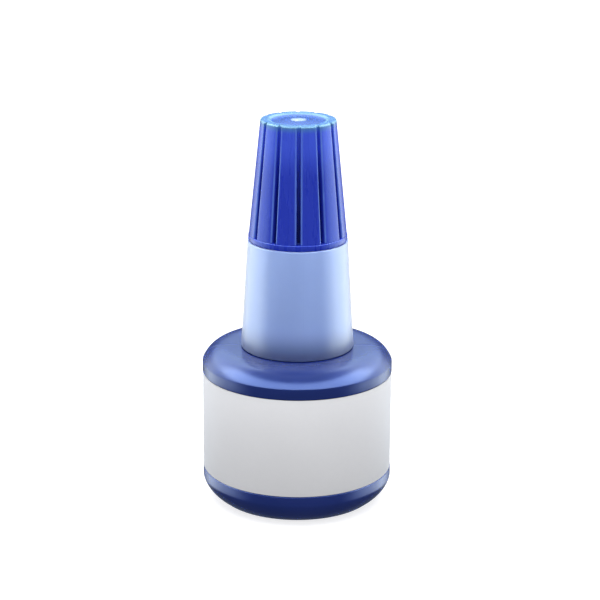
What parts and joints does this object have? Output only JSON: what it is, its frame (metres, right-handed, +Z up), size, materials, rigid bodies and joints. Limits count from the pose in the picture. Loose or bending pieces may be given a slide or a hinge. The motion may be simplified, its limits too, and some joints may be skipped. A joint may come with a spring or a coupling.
{
  "type": "ink bottle",
  "caption": "Squat round ink bottle with a blank wrap label, a tapered screw-on spout with a drip nozzle, and a fluted tapered screw cap.",
  "frame": {"origin": "centre of the standing ring's plane, under the bottle's axis", "axes": "+Z up along the bottle's axis, -Y towards the label's front, +X to the right seen from the front"},
  "size_m": [0.04, 0.04, 0.0821],
  "materials": {
    "body_plastic": "satin ink-blue polyethylene",
    "ink": "wet blue stamp ink",
    "label_paper": "plain light grey coated paper",
    "foam": "white expanded polyethylene",
    "spout_plastic": "satin pale blue-white polypropylene",
    "natural_plastic": "natural milky polyethylene",
    "cap_plastic": "glossy blue polypropylene"
  },
  "bodies": {
    "bottle": {"bottle": "body_plastic", "ink": "ink", "label": "label_paper"},
    "neck_gasket": {"neck_gasket": "foam"},
    "spout": {"spout": "spout_plastic", "dropper_plug": "natural_plastic"},
    "cap_wad": {"cap_wad": "foam"},
    "cap": {"cap": "cap_plastic"}
  },
  "joints": [
    {"name": "spout_rise", "type": "slide", "parent": "bottle", "child": "neck_gasket", "axis": [0, 0, 1], "range_m": [0, 0.01761]},
    {"name": "spout_turn", "type": "hinge", "parent": "neck_gasket", "child": "spout", "pos_m": [0, 0, 0.0339], "axis": [0, 0, 1], "range_deg": [0, 1980]},
    {"name": "cap_rise", "type": "slide", "parent": "spout", "child": "cap_wad", "axis": [0, 0, 1], "range_m": [0, 0.02251]},
    {"name": "cap_turn", "type": "hinge", "parent": "cap_wad", "child": "cap", "pos_m": [0, 0, 0.0568], "axis": [0, 0, 1], "range_deg": [0, 2700]}
  ],
  "couplings": [
    {"joint": "spout_rise", "follows": "spout_turn", "m_per_rad": 0.0005093},
    {"joint": "cap_rise", "follows": "cap_turn", "m_per_rad": 0.00047746}
  ]
}
